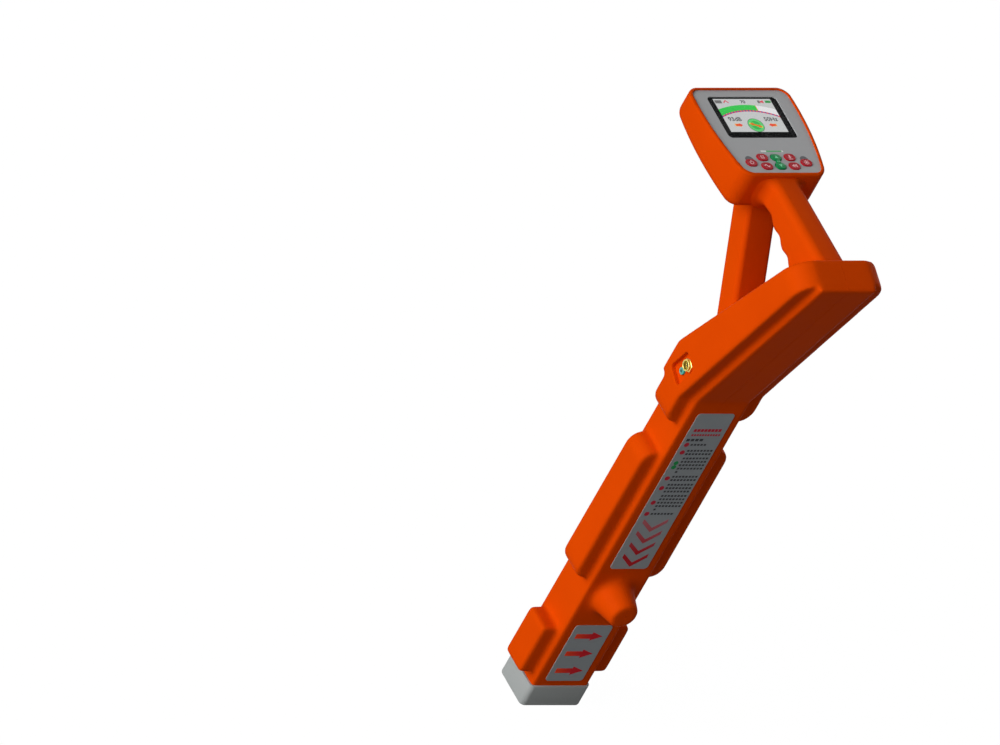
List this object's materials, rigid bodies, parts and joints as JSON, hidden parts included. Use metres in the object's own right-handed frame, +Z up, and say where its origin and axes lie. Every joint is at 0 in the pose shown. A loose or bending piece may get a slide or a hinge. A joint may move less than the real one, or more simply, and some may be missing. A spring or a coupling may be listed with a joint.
{
  "type": "cable locator receiver",
  "caption": "Hand-held cable locator receiver: upright wand with aerial pods on its sides, a nose, a leaning battery block, a finger grip and a display head with keys.",
  "frame": {"origin": "centre of the foot's flat underside", "axes": "+X to the user's right, +Y away from the user, +Z up the shaft"},
  "size_m": [0.131, 0.2973, 0.701],
  "materials": {
    "orange_shell": "satin moulded",
    "grey_boot": "matt",
    "grey_plate": "fine matt texture",
    "black_seal": "matt",
    "clear_glass": "polished",
    "black_mask": "printed gloss",
    "display_panel": "lit",
    "circuit_board": "solder mask",
    "dark_plastic": "matt",
    "red_key": "satin silicone",
    "green_key": "satin silicone",
    "grey_label": "printed matt",
    "gold_plate": "plated",
    "ivory_insert": "satin",
    "green_jack": "gloss",
    "cell_wrap": "satin sleeve",
    "ferrite": "ground",
    "copper_winding": "lacquered wire",
    "ribbon": "satin",
    "screw_steel": "plated"
  },
  "bodies": {
    "body": {"left_shell": "orange_shell", "right_shell": "orange_shell", "grip": "orange_shell", "strut": "orange_shell", "head_tray": "orange_shell", "foot_boot": "grey_boot", "face_plate": "grey_plate", "head_gasket": "black_seal", "display_window": "clear_glass", "display_mask": "black_mask", "lcd_module": "display_panel", "keypad_board": "circuit_board", "main_board": "circuit_board", "key_switches": "dark_plastic", "rocker_saddle": "dark_plastic", "sounder": "dark_plastic", "battery_cradle": "dark_plastic", "instruction_label": "grey_label", "arrow_label": "grey_label", "accessory_socket": "gold_plate", "socket_nut": "gold_plate", "socket_insert": "ivory_insert", "headphone_jack": "green_jack", "battery_cells": "cell_wrap", "lower_rod": "ferrite", "upper_rod": "ferrite", "upright_rod": "ferrite", "nose_rod": "ferrite", "lower_coil": "copper_winding", "upper_coil": "copper_winding", "upright_coil": "copper_winding", "nose_coil": "copper_winding", "display_ribbon": "ribbon", "shell_screws": "screw_steel", "foot_screws": "screw_steel", "neck_screws": "screw_steel", "plate_screws": "screw_steel", "board_screws": "screw_steel"},
    "power_key": {"power_key": "red_key"},
    "mode_key": {"mode_key": "red_key"},
    "frequency_key": {"frequency_key": "red_key"},
    "depth_key": {"depth_key": "red_key"},
    "sound_key": {"sound_key": "red_key"},
    "light_key": {"light_key": "red_key"},
    "gain_rocker": {"gain_rocker": "green_key"}
  },
  "joints": [
    {"name": "power_press", "type": "slide", "parent": "body", "child": "power_key", "axis": [0, 0, -1], "range_m": [0, 0.0008], "stiffness_N_per_m": 2000},
    {"name": "mode_press", "type": "slide", "parent": "body", "child": "mode_key", "axis": [0, 0, -1], "range_m": [0, 0.0008], "stiffness_N_per_m": 2000},
    {"name": "frequency_press", "type": "slide", "parent": "body", "child": "frequency_key", "axis": [0, 0, -1], "range_m": [0, 0.0008], "stiffness_N_per_m": 2000},
    {"name": "depth_press", "type": "slide", "parent": "body", "child": "depth_key", "axis": [0, 0, -1], "range_m": [0, 0.0008], "stiffness_N_per_m": 2000},
    {"name": "sound_press", "type": "slide", "parent": "body", "child": "sound_key", "axis": [0, 0, -1], "range_m": [0, 0.0008], "stiffness_N_per_m": 2000},
    {"name": "light_press", "type": "slide", "parent": "body", "child": "light_key", "axis": [0, 0, -1], "range_m": [0, 0.0008], "stiffness_N_per_m": 2000},
    {"name": "gain_tilt", "type": "hinge", "parent": "body", "child": "gain_rocker", "pos_m": [0, 0.083, 0.6899], "axis": [1, 0, 0], "range_deg": [-5, 5], "stiffness_Nm_per_rad": 0.15}
  ]
}
